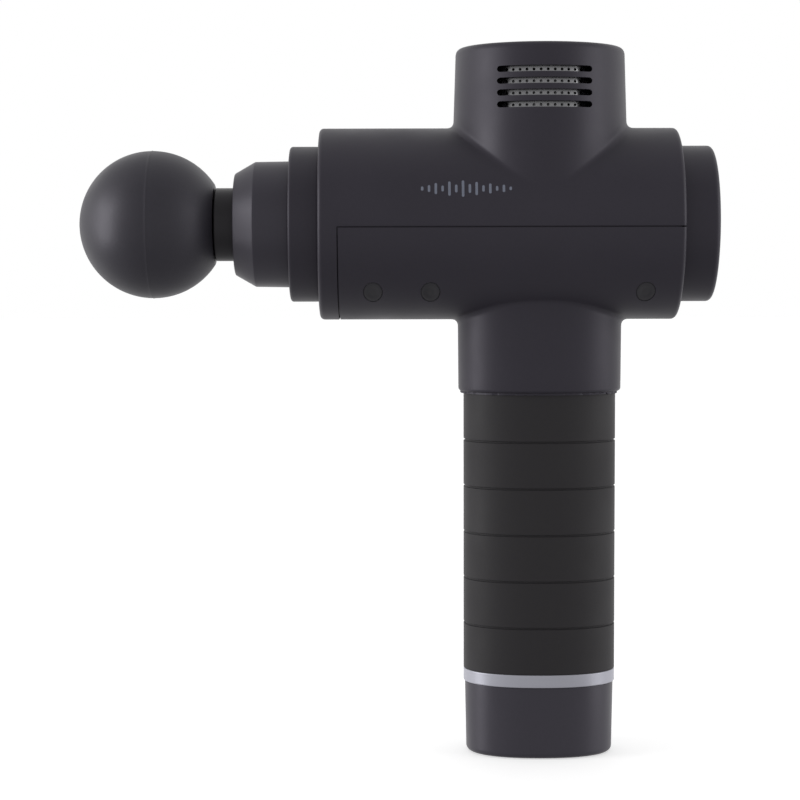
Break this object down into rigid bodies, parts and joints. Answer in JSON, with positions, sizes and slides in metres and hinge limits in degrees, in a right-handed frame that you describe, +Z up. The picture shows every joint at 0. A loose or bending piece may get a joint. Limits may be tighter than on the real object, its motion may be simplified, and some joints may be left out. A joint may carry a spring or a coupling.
{
  "type": "massage gun",
  "caption": "Percussion massage gun with a round body, a ball head on a stroking piston, a vented motor tower and a battery handle that pulls off.",
  "frame": {"origin": "centre of the base's flat underside, on the shared axis of the handle and the motor tower", "axes": "+Z up along the handle and the tower, -X towards the ball head, Y across the body"},
  "size_m": [0.2318, 0.07, 0.2594],
  "materials": {
    "shell_plastic": "fine satin moulded texture",
    "trim_plastic": "fine satin",
    "grip_rubber": "matte soft-touch",
    "silver_trim": "satin",
    "ball_foam": "matte skin on dense foam",
    "steel": "machined",
    "alloy": "die-cast",
    "board": "solder mask",
    "copper": "enamelled wire",
    "cell_wrap": "shrink sleeve",
    "seal_rubber": "matte",
    "light_diffuser": "translucent white"
  },
  "bodies": {
    "body": {"upper_shell": "shell_plastic", "lower_shell": "shell_plastic", "tower_cap": "shell_plastic", "vent_screen": "silver_trim", "front_collar": "shell_plastic", "nose_cone": "shell_plastic", "nose_seal": "seal_rubber", "front_bush": "light_diffuser", "rear_bush": "light_diffuser", "piston_guide": "alloy", "chassis": "alloy", "motor_can": "steel", "stator_core": "steel", "stator_winding": "copper", "top_bearing": "steel", "bottom_bearing": "steel", "main_board": "board", "power_connector": "trim_plastic", "end_cap": "shell_plastic", "indicator_ring": "light_diffuser", "button_board": "board", "case_screw_1": "steel", "case_screw_2": "steel", "case_screw_3": "steel", "case_screw_4": "steel", "case_screw_5": "steel", "case_screw_6": "steel", "screw_plug_1": "trim_plastic", "screw_plug_2": "trim_plastic", "screw_plug_3": "trim_plastic", "screw_plug_4": "trim_plastic", "screw_plug_5": "trim_plastic", "screw_plug_6": "trim_plastic"},
    "rotor": {"motor_shaft": "steel", "rotor_magnet": "steel", "crank_disc": "steel", "crank_pin": "steel", "crank_roller": "steel", "cooling_fan": "trim_plastic"},
    "piston": {"drive_yoke": "alloy", "yoke_pin": "steel", "piston_tube": "alloy", "socket_ring": "seal_rubber"},
    "head": {"massage_ball": "ball_foam", "head_stem": "trim_plastic"},
    "speed_button": {"speed_button": "trim_plastic"},
    "release_button": {"release_button": "trim_plastic"},
    "battery_pack": {"battery_case": "trim_plastic", "grip_sleeve": "grip_rubber", "status_ring": "silver_trim", "base_cap": "shell_plastic", "cell_1": "cell_wrap", "cell_2": "cell_wrap", "cell_3": "cell_wrap", "cell_4": "cell_wrap", "battery_board": "board", "battery_plug": "trim_plastic", "charge_jack": "trim_plastic"},
    "power_switch": {"power_rocker": "trim_plastic"}
  },
  "joints": [
    {"name": "crank_turn", "type": "hinge", "parent": "body", "child": "rotor", "pos_m": [0, 0, 0.1955], "axis": [0, 0, 1], "range_deg": [0, 180]},
    {"name": "piston_stroke", "type": "slide", "parent": "body", "child": "piston", "axis": [-1, 0, 0], "range_m": [0, 0.012]},
    {"name": "head_pull_off", "type": "slide", "parent": "piston", "child": "head", "axis": [-1, 0, 0], "range_m": [0, 0.04]},
    {"name": "speed_button_press", "type": "slide", "parent": "body", "child": "speed_button", "axis": [-1, 0, 0], "range_m": [0, 0.0012], "stiffness_N_per_m": 1500},
    {"name": "battery_release_press", "type": "slide", "parent": "body", "child": "release_button", "axis": [0, -1, 0], "range_m": [0, 0.0012], "stiffness_N_per_m": 1500},
    {"name": "battery_slide", "type": "slide", "parent": "body", "child": "battery_pack", "axis": [0, 0, -1], "range_m": [0, 0.045]},
    {"name": "power_rocker_tilt", "type": "hinge", "parent": "battery_pack", "child": "power_switch", "pos_m": [-0.013, 0, 0.0045], "axis": [0, 1, 0], "range_deg": [0, 14]}
  ],
  "couplings": [
    {"joint": "crank_turn", "follows": "piston_stroke", "rad_per_m": 261.8}
  ]
}
